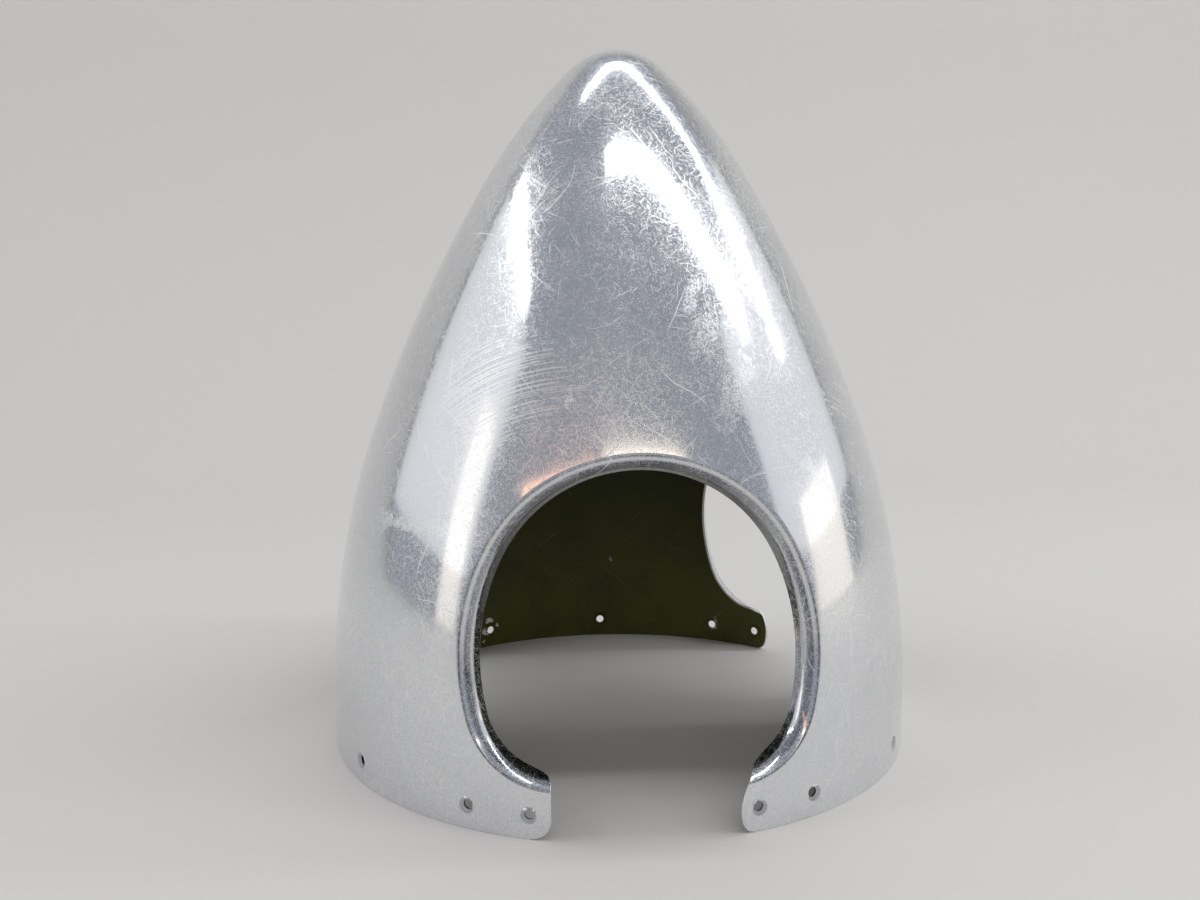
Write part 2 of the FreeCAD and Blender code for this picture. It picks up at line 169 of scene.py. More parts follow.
opening = {
    "count": 3,
    "top": 182.5,
    "halfWidth": 86.5,
    "waist": 86.0,
    "sideRadius": 112.0,
    "cornerRadius": 36.4,
    "foot": 31.3,
    "footRun": 6.0,        # how much of the foot line the rim's path keeps at each end
    "rimDepth": 12.5,      # of the rim's free edge, square below the skin
    "rimTurn": math.radians(82),      # how far the rim has turned in at its free edge
    "bevelTurn": math.radians(45),    # and just past the crease in the skin
    "bevelReach": 5.5,     # the crease's distance out from the free edge
    "crease": 3.0,         # radius of the crease
    "roll": 13.0,          # radius between bevel and rim
    "columns": 240,
    "endColumns": 0.6,     # how much closer the columns stand at the rim's ends
    "rows": (5, 1, 10, 3),    # over the crease, the bevel, the roll and the rim's flat
}

tabs = {
    "left": 46.2,          # straight side of the left tab, from the middle of the opening
    "leftCorner": 11.0,
    "right": 47.6,
    "roundRadius": 27.0,
    "roundHeight": 12.3,
    "roundTop": 29.4,      # above it the right side runs straight up
    "roundCorner": 7.0,
    "rimEnds": (13.5, 16.8),   # rounding of the rim's free corners, left and right
    # points along the cut edge, from the left seam to the right one, without the rim's own
    "edgePoints": {"leftBase": 36, "leftCorner": 16, "leftSide": 10,
                   "round": 18, "rightCorner": 9, "rightBase": 22},
}


def flatPath(v):
    # the opening's outline seen square on, as arcs and lines from the left end over the top to the right
    cornerLevel = v["foot"] + v["cornerRadius"]
    sideX = v["halfWidth"] - v["sideRadius"]
    reach = v["sideRadius"] - v["cornerRadius"]
    cornerRise = -math.asin((v["waist"] - cornerLevel) / reach)
    cornerX = sideX + reach * math.cos(cornerRise)
    rise = v["top"] - v["waist"]
    topRadius = (v["sideRadius"] ** 2 - sideX ** 2 - rise ** 2) / (2 * (v["sideRadius"] - rise))
    topRise = math.asin((rise - topRadius) / (v["sideRadius"] - topRadius))
    right = [(0.0, v["top"] - topRadius, topRadius, math.pi / 2, topRise),
             (sideX, v["waist"], v["sideRadius"], topRise, cornerRise),
             (cornerX, cornerLevel, v["cornerRadius"], cornerRise, -math.pi / 2)]
    left = [(-x, z, radius, math.pi - end, math.pi - start) for x, z, radius, start, end in reversed(right)]
    return left + right, cornerX


pathArcs, footX = flatPath(opening)
pathLength = 2 * opening["footRun"] + sum(arc[2] * abs(arc[4] - arc[3]) for arc in pathArcs)


def pathAt(run):
    # x, height and direction of the opening's outline at a run along it
    x = -footX + opening["footRun"] - run
    z = np.full(run.shape, opening["foot"])
    dx, dz = np.full(run.shape, -1.0), np.zeros(run.shape)
    first = opening["footRun"]
    for centreX, centreZ, radius, start, end in pathArcs:
        on = run > first
        turn = start - (run[on] - first) / radius
        x[on], z[on] = centreX + radius * np.cos(turn), centreZ + radius * np.sin(turn)
        dx[on], dz[on] = np.sin(turn), -np.cos(turn)
        first += radius * abs(end - start)
    on = run > first
    x[on], z[on] = footX - (run[on] - first), opening["foot"]
    dx[on], dz[on] = -1.0, 0.0
    return x, z, dx, dz


def unit(vectors):
    return vectors / np.linalg.norm(vectors, axis=-1, keepdims=True)


def rimFrame(run):
    # corner point at the skin above the free edge, skin normal, and direction away from the opening
    x, z, dx, dz = pathAt(run)
    corner = skinAtHeight(x, z, 0.0)
    angle, outlineAt, _ = skinPlace(corner)
    normal = skin(angle, outlineAt, 0.0)[1]
    radius = np.hypot(corner[..., 0], corner[..., 1])
    slope = -normal[..., 2] / np.hypot(normal[..., 0], normal[..., 1])
    dy = (radius * slope * dz - x * dx) / corner[..., 1]
    along = unit(np.stack([dx, dy, dz], -1))
    return corner, normal, unit(np.cross(normal, along))


def rollCentre(v):
    # distance away and depth of the roll's centre, which touches the bevel's line and the rim's
    freeReach = v["rimDepth"] / math.tan(v["rimTurn"])
    lines = [[math.sin(v[turn]), math.cos(v[turn])] for turn in ("bevelTurn", "rimTurn")]
    offsets = [v["roll"] + reach * line[0] for reach, line in zip((v["bevelReach"], freeReach), lines)]
    return np.linalg.solve(lines, offsets)


def creaseCentre(corner, normal, away):
    # the centre that touches the skin and the bevel's line, and the skin's normal above it
    v = opening
    depth = np.full(corner.shape[:-1] + (1,), v["crease"])
    level, steep = math.cos(v["bevelTurn"]), math.sin(v["bevelTurn"])
    for _ in range(4):
        reach = v["bevelReach"] + (v["crease"] - depth * level) / steep
        centre = corner + reach * away - depth * normal
        angle, outlineAt, below = skinPlace(centre)
        depth = depth + v["crease"] - below[..., None]
    return centre, skin(angle, outlineAt, 0.0)[1]


def dot(one, other):
    return (one * other).sum(-1, keepdims=True)


def rimSheet(run, down, inset):
    # points and normals of the rim: down 0 is where its crease leaves the skin; also how far it goes
    v = opening
    down = down[..., None]
    corner, normal, away = rimFrame(run)
    centre, mouth = creaseCentre(corner, normal, away)
    reach, depth = rollCentre(v)
    rollAt = corner + reach * away - depth * normal

    def facingAt(turn):
        return normal * np.cos(turn) - away * np.sin(turn)

    rolling = v["rimTurn"] - v["bevelTurn"]
    bevel, rim = facingAt(v["bevelTurn"]), facingAt(v["rimTurn"])
    bevelDown, rimDown = (facingAt(v[turn] + math.pi / 2) for turn in ("bevelTurn", "rimTurn"))
    creaseTurn = np.arccos(np.clip(dot(mouth, bevel), -1, 1))
    sideways = unit(bevel - dot(mouth, bevel) * mouth)
    creaseEnd = v["crease"] * creaseTurn
    bevelEnd = creaseEnd + dot(rollAt + v["roll"] * bevel - centre - v["crease"] * bevel, bevelDown)
    rollEnd = bevelEnd + v["roll"] * rolling
    freeEnd = rollEnd + dot(corner - v["rimDepth"] * normal - rollAt - v["roll"] * rim, rimDown)
    turn = np.clip(down / v["crease"], 0, creaseTurn)
    creased = mouth * np.cos(turn) + sideways * np.sin(turn)
    rolled = facingAt(v["bevelTurn"] + np.clip((down - bevelEnd) / v["roll"], 0, rolling))
    onCrease = down < creaseEnd
    facing = np.where(onCrease, creased, rolled)
    points = np.where(onCrease, centre + v["crease"] * creased, rollAt + v["roll"] * rolled)
    points = points + np.where(onCrease, 0, np.minimum(down - bevelEnd, 0)) * bevelDown
    points = points + np.maximum(down - rollEnd, 0) * rimDown
    ends = [creaseEnd, bevelEnd, rollEnd, freeEnd - inset / math.tan(v["rimTurn"])]
    return points - inset * facing, facing, [end[..., 0] for end in ends]


def rimReach(run, inset):
    # how far down the full rim goes
    return rimSheet(run, np.zeros(run.shape), inset)[2][-1]


def roundSide(v):
    # where the right tab's round side starts to run straight up
    rise = v["roundTop"] - v["roundHeight"]
    return v["right"] + v["roundRadius"] - math.sqrt(v["roundRadius"] ** 2 - rise ** 2)


def pastNotch(points, side):
    # how far points lie inside the notch, at its left or right side
    if side < 0:
        return points[..., 0] + tabs["left"]
    height = points[..., 2] - tabs["roundHeight"]
    reach = np.sqrt(np.maximum(tabs["roundRadius"] ** 2 - height ** 2, 0.0))
    rounded = tabs["right"] + tabs["roundRadius"] - reach
    limit = np.where(points[..., 2] > tabs["roundTop"], roundSide(tabs), rounded)
    return limit - points[..., 0]


def rimEndCircle(side):
    # rounding of the rim's free corner, seen from above: tangent to the notch and to the rim's free edge
    radius = tabs["rimEnds"][0 if side < 0 else 1]
    edge = tabs["left"] if side < 0 else roundSide(tabs)
    fromAxis = outline["baseRadius"] - opening["rimDepth"] + radius
    span = math.acos((edge + radius) / fromAxis)
    return np.array([side * (edge + radius), -fromAxis * math.sin(span)]), radius, span


def pastRimEnd(points, side):
    # above 0 where the rim's rounded free corner is cut away
    centre, radius, span = rimEndCircle(side)
    offset = points[..., :2] - centre
    turn = np.arctan2(offset[..., 1], -side * offset[..., 0])
    inSlice = np.minimum(turn, span - turn) * radius
    return np.minimum(np.linalg.norm(offset, axis=-1) - radius, inSlice)


def solve(low, high, test):
    # the place where test turns from false to true, for arrays of low and high ends, found by halving
    for _ in range(36):
        middle = (low + high) / 2
        on = test(middle)
        low, high = np.where(on, low, middle), np.where(on, middle, high)
    return (low + high) / 2


rimSearch = {
    "deepest": 16.5,       # further down than the rim goes
    "downSteps": 67,
    "farthest": 40.0,      # further in from the rim's ends than the notch cuts
    "runSteps": 1400,
    "cornerRun": 60.0,     # the rounded free corners lie this near the ends
    "cornerSteps": 240,
    "slack": 0.01,
}


def rimTables(inset):
    # for each end: run of the notch's side against depth, and the depth of the free edge against run
    v = rimSearch
    downs = np.linspace(0, v["deepest"], v["downSteps"])
    ends = []
    for side, start in ((-1, 0.0), (1, pathLength)):
        near = np.full(downs.shape, start)
        far = np.full(downs.shape, start - side * v["farthest"])
        ends.append(solve(near, far, lambda run: pastNotch(rimSheet(run, downs, inset)[0], side) < 0))
    runs = np.linspace(0, pathLength, v["runSteps"])
    steps = np.linspace(0, 1, v["cornerSteps"])
    reach = rimReach(runs, inset)
    for side in (-1, 1):
        near = runs < v["cornerRun"] if side < 0 else runs > pathLength - v["cornerRun"]
        found = reach[near].copy()
        grid = np.repeat(runs[near][:, None], len(steps), 1)
        downGrid = reach[near][:, None] * steps
        past = pastRimEnd(rimSheet(grid, downGrid, inset)[0], side)
        cutAway = past > 0
        first = np.where(cutAway.any(1), cutAway.argmax(1), len(steps) - 1)
        for row, index in enumerate(first):
            if cutAway[row].any() and index > 0:
                before, after = past[row, index - 1], past[row, index]
                found[row] = np.interp(0.0, [before, after], downGrid[row, index - 1:index + 1])
        reach[near] = found
    return downs, ends, runs, reach


def rimGrid(inset):
    # the turned-in edge, rows from the skin down to the free edge, columns from the left end to the right
    downs, sideRuns, runs, reach = rimTables(inset)
    share = np.linspace(0, 1, opening["columns"] + 1)
    share = share - opening["endColumns"] * np.sin(2 * np.pi * share) / (2 * np.pi)
    middle = np.array([pathLength / 2])
    ends = np.concatenate([[0.0], np.ravel(rimSheet(middle, np.zeros(1), inset)[2])])
    rows = [np.linspace(*ends[i:i + 2], count, endpoint=False) for i, count in enumerate(opening["rows"])]
    share, rows = np.meshgrid(share, np.append(np.concatenate(rows), ends[-1]) / ends[-1])

    def runAt(down):
        left, right = (np.interp(down, downs, side) for side in sideRuns)
        return left + share * (right - left)

    down = solve(np.zeros(share.shape), np.full(share.shape, downs[-1]),
                 lambda down: down > rows * np.interp(runAt(down), runs, reach))
    run = runAt(down)
    points, facing, _ = rimSheet(run, down, inset)
    edgeRun = run[-1]
    cornerNormal = rimFrame(edgeRun)[1]
    rounded = np.interp(edgeRun, runs, reach) < rimReach(edgeRun, inset) - rimSearch["slack"]
    cutFacing = -cornerNormal
    for side in (-1, 1):
        here = rounded & (np.sign(points[-1, :, 0]) == side)
        centre = rimEndCircle(side)[0]
        offset = points[-1, here, :2] - centre
        cutFacing[here] = np.append(unit(offset), np.zeros((here.sum(), 1)), 1)
    return points, facing, cutFacing, down


def flatEdge(x, z, facing, inset):
    points = skinAtHeight(x, z, inset)
    angle, run, _ = skinPlace(points)
    return points, skin(angle, run, inset)[1], np.stack([facing[0], np.zeros(x.shape), facing[1]], -1)


def arcEdge(centre, radius, start, end, count, inset):
    turn = np.linspace(start, end, count)
    across, up = np.cos(turn), np.sin(turn)
    return flatEdge(centre[0] + radius * across, centre[1] + radius * up, (across, up), inset)


def baseEdge(start, end, count, inset):
    points, normals = skin(np.linspace(start, end, count), 0.0, inset)
    return points, normals, np.broadcast_to([0.0, 0.0, -1.0], points.shape)


def sectorEdge(inset, grid, first, last):
    # the sheet's cut edge from seam to seam, at angles first and last: points, skin normals, cut normals
    v, count = tabs, tabs["edgePoints"]
    points, facing, cutFacing, _ = grid
    wall = outline["baseRadius"] - inset
    footX = -v["left"] - v["leftCorner"]
    middleX = v["right"] + v["roundRadius"]
    cornerReach = v["roundRadius"] - v["roundCorner"]
    lower = math.pi + math.asin((v["roundHeight"] - v["roundCorner"]) / cornerReach)
    cornerX = middleX + cornerReach * math.cos(lower)
    upper = math.pi - math.asin((points[0, -1, 2] - v["roundHeight"]) / v["roundRadius"])
    sideZ = np.linspace(v["leftCorner"], points[0, 0, 2], count["leftSide"])
    sideX = np.full(sideZ.shape, -v["left"])
    across = np.array([1.0, 0.0, 0.0])
    right = points[::-1, -1]
    onTab = right[:, 2] < v["roundTop"]
    rightFacing = np.broadcast_to(-across, right.shape).copy()
    tabFacing = (right - [middleX, 0, v["roundHeight"]]) / v["roundRadius"]
    tabFacing[:, 1] = 0
    rightFacing[onTab] = unit(tabFacing[onTab])
    kink = max(onTab.argmax(), 1)
    rightFacing[kink - 1:kink + 1] = unit(rightFacing[kink - 1] + rightFacing[kink])
    leftCorner, rightCorner = (footX, v["leftCorner"]), (cornerX, v["roundCorner"])
    parts = [
        baseEdge(first, math.asin(footX / wall), count["leftBase"], inset),
        arcEdge(leftCorner, v["leftCorner"], -math.pi / 2, 0, count["leftCorner"], inset),
        flatEdge(sideX, sideZ, (np.ones(sideZ.shape), np.zeros(sideZ.shape)), inset),
        (points[:, 0], facing[:, 0], np.broadcast_to(across, points[:, 0].shape)),
        (points[-1], facing[-1], cutFacing),
        (right, facing[::-1, -1], rightFacing),
        arcEdge((middleX, v["roundHeight"]), v["roundRadius"], upper, lower, count["round"], inset),
        arcEdge(rightCorner, v["roundCorner"], lower, 1.5 * math.pi, count["rightCorner"], inset),
        baseEdge(math.asin(cornerX / wall), last, count["rightBase"], inset),
    ]
    # each part starts where the one before it ends
    joined = [np.concatenate([part[kind][min(number, 1):] for number, part in enumerate(parts)])
              for kind in range(3)]
    starts = np.cumsum([0] + [len(part[0]) - 1 for part in parts])
    return joined, starts


def roundedEdge(edge, radius, side):
    # rows that round the sheet's corner off, from its face to the cut
    points, normals, cuts = edge
    normals = side * normals
    level = (normals * cuts).sum(-1, keepdims=True)
    centre = points - radius / (1 + level) * (normals + cuts)
    square = unit(cuts - level * normals)
    whole = np.arccos(np.clip(level, -1, 1))
    rows = []
    for share in outline["edgeRows"]:
        facing = normals * np.cos(share * whole) + square * np.sin(share * whole)
        rows.append((centre + radius * facing, facing))
    return rows


screws = {
    "height": 12.5,
    "angles": (-60.0, -31.2, -19.7, 19.7, 31.2),   # from the middle of an opening
    "around": 32,
    # radius and depth of the dimple's section, from the outside over the bore to the inside
    "section": ((4.95, 0.0), (4.6, 0.03), (4.3, 0.13), (4.0, 0.31), (3.5, 0.71), (3.05, 1.09), (2.82, 1.28),
                (2.69, 1.42), (2.65, 1.58), (2.65, 2.3), (2.69, 2.46), (2.82, 2.57), (3.0, 2.6), (3.45, 2.6),
                (3.7, 2.52), (3.95, 2.34), (4.4, 1.97), (4.8, 1.72), (5.1, 1.63), (5.4, 1.6)),
    "boreRows": (8, 10),    # rows of the section that are bare cut metal
}

mesh = {
    "spacing": 4.6,
    "firstSeam": -70.0,     # the sectors meet here, clear of every hole
    "seamPoints": 46,
    "topRun": 205.0,        # closed rings start above this run along the outline
    "clearance": 0.6,       # of inner points from the edges, as a share of the spacing
    "merge": 0.004,         # points nearer than this become one
}

built = {"points": [], "normals": [], "rimDown": [], "faces": [], "finish": []}


def addPoints(points, normals):
    first = len(built["points"])
    built["points"].extend(points.reshape(-1, 3))
    built["normals"].extend(normals.reshape(-1, 3))
    built["rimDown"].extend([0.0] * points[..., 0].size)
    return np.arange(first, first + points[..., 0].size).reshape(points.shape[:-1])


def addFaces(faces, finish):
    built["faces"].extend(faces)
    built["finish"].extend([finish] * len(faces))


def addGrid(ids, finish, closed=False):
    if closed:
        ids = np.concatenate([ids, ids[:, :1]], 1)
    corners = [ids[:-1, :-1], ids[:-1, 1:], ids[1:, 1:], ids[1:, :-1]]
    addFaces(np.stack(corners, -1).reshape(-1, 4).tolist(), finish)


def inside(points, loops):
    # true for points with an odd number of loop edges to their right
    odd = np.zeros(len(points), bool)
    for loop in loops:
        ends = np.roll(loop, -1, 0)
        for (ax, ay), (bx, by) in zip(loop, ends):
            if ay != by:
                crosses = (points[:, 1] < ay) != (points[:, 1] < by)
                odd ^= crosses & (points[:, 0] < ax + (points[:, 1] - ay) * (bx - ax) / (by - ay))
    return odd


def fillSkin(loops, inset, side, finish):
    # triangles over the unrolled skin, inside the first loop of point numbers and outside the others
    wall = outline["baseRadius"]
    flats = []
    for loop in loops:
        angle, run, _ = skinPlace(np.array([built["points"][i] for i in loop]))
        flats.append(np.stack([angle * wall, run], -1))
    edgePoints = np.concatenate(flats)
    gap = mesh["spacing"]
    low, high = edgePoints.min(0), edgePoints.max(0)
    rows = []
    for number, level in enumerate(np.arange(low[1] + gap / 2, high[1], gap * math.sqrt(0.75))):
        across = np.arange(low[0] + gap / 2 * (number % 2), high[0], gap)
        rows.append(np.stack([across, np.full(across.shape, level)], -1))
    inner = np.concatenate(rows)
    inner = inner[inside(inner, flats)]
    clear = np.array([np.hypot(*(edgePoints - point).T).min() for point in inner]) > mesh["clearance"] * gap
    inner = inner[clear]
    constraints, first = [], 0
    for flat in flats:
        constraints += [(first + i, first + (i + 1) % len(flat)) for i in range(len(flat))]
        first += len(flat)
    flat = np.concatenate([edgePoints, inner])
    result = delaunay_2d_cdt([Vector(p) for p in flat], constraints, [], 0, 1e-7)
    made, triangles, origins = result[0], result[2], result[3]
    filled = addPoints(*sheetFace(inner[:, 0] / wall, inner[:, 1], inset, side))
    ids = np.concatenate([*loops, filled])
    names = [ids[origin[0]] for origin in origins]
    spots = np.array([tuple(p) for p in made])
    middles = spots[np.array(triangles)].mean(1)
    kept = inside(middles, flats)
    addFaces([[names[i] for i in triangle] for triangle, keep in zip(triangles, kept) if keep], finish)


def turnedAbout(points, normals, angle):
    turn = np.array(Matrix.Rotation(angle, 3, "Z"))
    return points @ turn.T, normals @ turn.T


def addDimple(angle, outsideFinish, boreFinish, insideFinish):
    # a pushed-in ring round a screw hole; gives its first and last rings, which lie in the two skins
    section = np.array(screws["section"])
    along = np.gradient(section, axis=0)
    facing = unit(np.stack([-along[:, 1], along[:, 0]], -1))
    turn = np.linspace(0, 2 * math.pi, screws["around"], endpoint=False)
    radius, depth = section[:, :1], section[:, 1:]
    x, z = radius * np.cos(turn), radius * np.sin(turn)
    wall = outline["baseRadius"]
    points = np.stack([x, -np.sqrt(wall ** 2 - x ** 2) + depth, screws["height"] + z], -1)
    out, away = facing[:, :1], facing[:, 1:]
    normals = np.stack([-out * np.cos(turn), away + 0 * x, -out * np.sin(turn)], -1)
    for row, side in ((0, 1), (-1, -1)):
        normals[row] = side * skin(np.arctan2(x[row], -points[row, :, 1]), screws["height"], 0.0)[1]
    ids = addPoints(*turnedAbout(points, normals, math.radians(angle)))
    first, last = screws["boreRows"]
    addGrid(ids[:first + 1], outsideFinish, closed=True)
    addGrid(ids[first:last + 1], boreFinish, closed=True)
    addGrid(ids[last:], insideFinish, closed=True)
    return ids[0], ids[-1]


def addSector(polished, primed, cutEdge):
    # a third of the shell: one opening with its rim and tabs, and five screw holes
    first = math.radians(mesh["firstSeam"])
    last = first + 2 * math.pi / opening["count"]
    dimples = [addDimple(angle, polished, cutEdge, primed) for angle in screws["angles"]]
    strips = []
    for side, inset, finish in ((1, 0.0, polished), (-1, outline["sheet"], primed)):
        grid = rimGrid(inset)
        edge, starts = sectorEdge(inset, grid, first, last)
        rows = roundedEdge(edge, outline["edgeRounding"], side)
        strips.append([addPoints(*row) for row in rows])
        rim = addPoints(grid[0], side * grid[1])
        onEdge = strips[-1][0]    # its parts 3, 4 and 5 are the rim's left end, free edge and right end
        rim[:, 0] = onEdge[starts[3]:starts[4] + 1]
        rim[-1] = onEdge[starts[4]:starts[5] + 1]
        rim[:, -1] = onEdge[starts[5]:starts[6] + 1][::-1]
        addGrid(rim, finish)
        for point, down in zip(rim.ravel(), grid[3].ravel()):
            built["rimDown"][point] = down
        seamRuns = np.linspace(outline["edgeRounding"], mesh["topRun"], mesh["seamPoints"])[1:]
        topCount = ringCount(mesh["topRun"]) // opening["count"]
        topAngles = np.linspace(last, first, topCount + 1)[1:-1]
        right = addPoints(*sheetFace(last, seamRuns, inset, side))
        top = addPoints(*sheetFace(topAngles, mesh["topRun"], inset, side))
        left = addPoints(*sheetFace(first, seamRuns[::-1], inset, side))
        loop = np.concatenate([onEdge[:starts[3]], rim[0], onEdge[starts[6] + 1:], right, top, left])
        fillSkin([loop] + [pair[0 if side > 0 else 1] for pair in dimples], inset, side, finish)
    addGrid(np.array(strips[0] + strips[1][::-1]), cutEdge)


def sheetFace(angle, run, inset, side):
    points, normals = skin(angle, run, inset)
    return points, side * normals


def ringCount(run):
    radius = math.hypot(*skin(0.0, run, 0.0)[0][:2])
    return opening["count"] * max(4, round(2 * math.pi * radius / mesh["spacing"] / opening["count"]))


def addTop(inset, side, finish):
    # closed rings from the openings up to the nose
    count = int((outlineRun - mesh["topRun"]) / mesh["spacing"])
    runs = np.linspace(mesh["topRun"], outlineRun, count + 1)
    first = math.radians(mesh["firstSeam"])
    below = None
    for run in runs[:-1]:
        angles = first + np.linspace(0, 2 * math.pi, ringCount(run), endpoint=False)
        ring = addPoints(*sheetFace(angles, run, inset, side))
        if below is not None:
            addFaces(stitch(below, ring), finish)
        below = ring
    tip = addPoints(*sheetFace(np.array([0.0]), runs[-1], inset, side))
    addFaces([[below[i], below[(i + 1) % len(below)], tip[0]] for i in range(len(below))], finish)


def stitch(lower, upper):
    # triangles between two closed rings of different counts
    faces, i, j = [], 0, 0
    while i < len(lower) or j < len(upper):
        if (i + 1) * len(upper) <= (j + 1) * len(lower):
            faces.append([lower[i % len(lower)], lower[(i + 1) % len(lower)], upper[j % len(upper)]])
            i += 1
        else:
            faces.append([lower[i % len(lower)], upper[(j + 1) % len(upper)], upper[j % len(upper)]])
            j += 1
    return faces


def makeShell(materials):
    polished, primed, cutEdge = 0, 1, 2
    addSector(polished, primed, cutEdge)
    points, normals = np.array(built["points"]), np.array(built["normals"])
    faces, finish, rimDown = (list(built[name]) for name in ("faces", "finish", "rimDown"))
    for index in range(1, opening["count"]):
        first = len(built["points"])
        addPoints(*turnedAbout(points, normals, 2 * math.pi * index / opening["count"]))
        built["rimDown"][first:] = rimDown
        built["faces"].extend([[first + i for i in face] for face in faces])
        built["finish"].extend(finish)
    addTop(0.0, 1, polished)
    addTop(outline["sheet"], -1, primed)
    data = bpy.data.meshes.new("spinnerShell")
    spots = (np.array(built["points"]) * millimetre).tolist()
    data.from_pydata(spots, [], [list(map(int, face)) for face in built["faces"]])
    for face, index in zip(data.polygons, built["finish"]):
        face.material_index = index
    kept = data.attributes.new("facing", "FLOAT_VECTOR", "POINT")
    kept.data.foreach_set("vector", unit(np.array(built["normals"])).ravel())
    data.attributes.new("rimDown", "FLOAT", "POINT").data.foreach_set("value", built["rimDown"])
    work = bmesh.new()
    work.from_mesh(data)
    bmesh.ops.remove_doubles(work, verts=work.verts, dist=mesh["merge"] * millimetre)
    bmesh.ops.recalc_face_normals(work, faces=work.faces)
    work.to_mesh(data)
    loose = sum(not edge.is_manifold for edge in work.edges)
    work.free()
    print("shell mesh:", len(data.vertices), "points,", len(data.polygons), "faces,", loose, "open edges")
    facing = np.zeros(len(data.vertices) * 3)
    data.attributes["facing"].data.foreach_get("vector", facing)
    data.attributes.remove(data.attributes["facing"])
    data.shade_smooth()
    data.normals_split_custom_set_from_vertices(facing.reshape(-1, 3).tolist())
    for material in materials:
        data.materials.append(material)
    return addObject("spinnerShell", data)


# node helpers; a value is a number, a vector, a colour or another node's output

def feed(socket, value):
    if isinstance(value, bpy.types.NodeSocket):
        socket.id_data.links.new(value, socket)
    else:
        socket.default_value = value


def put(tree, kind, inputs, **settings):
    node = tree.nodes.new(kind)
    for name, value in settings.items():
        setattr(node, name, value)
    for name, value in inputs.items():
        feed(node.inputs[name], value)
    return node


def placeGroup(tree, group, inputs):
    return put(tree, "ShaderNodeGroup", inputs, node_tree=group).outputs


def maths(tree, operation, *values):
    return put(tree, "ShaderNodeMath", dict(enumerate(values)), operation=operation).outputs["Value"]


def times(tree, one, other):
    return maths(tree, "MULTIPLY", one, other)


def plus(tree, one, other):
    return maths(tree, "ADD", one, other)


def vectors(tree, operation, *values):
    node = put(tree, "ShaderNodeVectorMath", dict(enumerate(values)), operation=operation)
    return node.outputs["Value" if operation in ("DOT_PRODUCT", "DISTANCE") else "Vector"]


def scaled(tree, vector, factor):
    node = put(tree, "ShaderNodeVectorMath", {0: vector, "Scale": factor}, operation="SCALE")
    return node.outputs["Vector"]


def ramp(tree, value, low, high, first=0.0, last=1.0):
    # first up to low, last from high, smooth between
    inputs = {"Value": value, "From Min": low, "From Max": high, "To Min": first, "To Max": last}
    return put(tree, "ShaderNodeMapRange", inputs, interpolation_type="SMOOTHSTEP").outputs["Result"]


def noise(tree, spot, size, detail=2.0, roughness=0.5):
    # cloudy values, whose largest features are about size millimetres
    inputs = {"Vector": spot, "Scale": 1.0 / size, "Detail": detail, "Roughness": roughness}
    return put(tree, "ShaderNodeTexNoise", inputs).outputs["Fac"]


def clouded(tree, spot, size, detail, roughness, low, high, first=0.0, last=1.0):
    # such values, brought to first where they are low and to last where they are high
    return ramp(tree, noise(tree, spot, size, detail, roughness), low, high, first, last)


def bands(tree, distance, size, detail):
    # uneven bands across a distance, about size millimetres wide
    inputs = {"W": maths(tree, "DIVIDE", distance, size), "Scale": 1.0, "Detail": detail}
    return put(tree, "ShaderNodeTexNoise", inputs, noise_dimensions="1D").outputs["Fac"]


def mixed(tree, share, one, other):
    # colour one where share is 0, other where it is 1
    node = put(tree, "ShaderNodeMix", {}, data_type="RGBA")
    for number, value in ((0, share), (6, one), (7, other)):
        feed(node.inputs[number], (*value, 1) if isinstance(value, tuple) else value)
    return node.outputs[2]


def strongest(tree, masks):
    total = masks[0]
    for mask in masks[1:]:
        total = maths(tree, "MAXIMUM", total, mask)
    return total


def roughen(tree, shader, height, distance, strength=1.0):
    bump = put(tree, "ShaderNodeBump", {"Height": height, "Distance": distance, "Strength": strength})
    feed(shader.inputs["Normal"], bump.outputs["Normal"])


def newGroup(name, inputs, outputs):
    tree = bpy.data.node_groups.new(name, "ShaderNodeTree")
    kinds = {float: "NodeSocketFloat", tuple: "NodeSocketVector"}
    for label, value in inputs.items():
        socket = tree.interface.new_socket(name=label, in_out="INPUT", socket_type=kinds[type(value)])
        socket.default_value = value
    for label in outputs:
        tree.interface.new_socket(name=label, in_out="OUTPUT", socket_type="NodeSocketFloat")
    given = tree.nodes.new("NodeGroupInput").outputs
    result = tree.nodes.new("NodeGroupOutput")
    return tree, given, result


def finishGroup(tree, result, values):
    for label, value in values.items():
        feed(result.inputs[label], value)
    return tree


def surfacePlace(tree):
    # millimetres in the part's own frame, and the surface's direction
    coords = tree.nodes.new("ShaderNodeTexCoord").outputs
    return scaled(tree, coords["Object"], 1 / millimetre), coords["Normal"]


def newMaterial(name, colour, roughness, metallic):
    material = bpy.data.materials.new(name)
    material.use_nodes = True
    shader = material.node_tree.nodes["Principled BSDF"]
    shader.inputs["Base Color"].default_value = (*colour, 1)
    shader.inputs["Roughness"].default_value = roughness
    shader.inputs["Metallic"].default_value = metallic
    return material, material.node_tree, shader


# effects that several finishes share

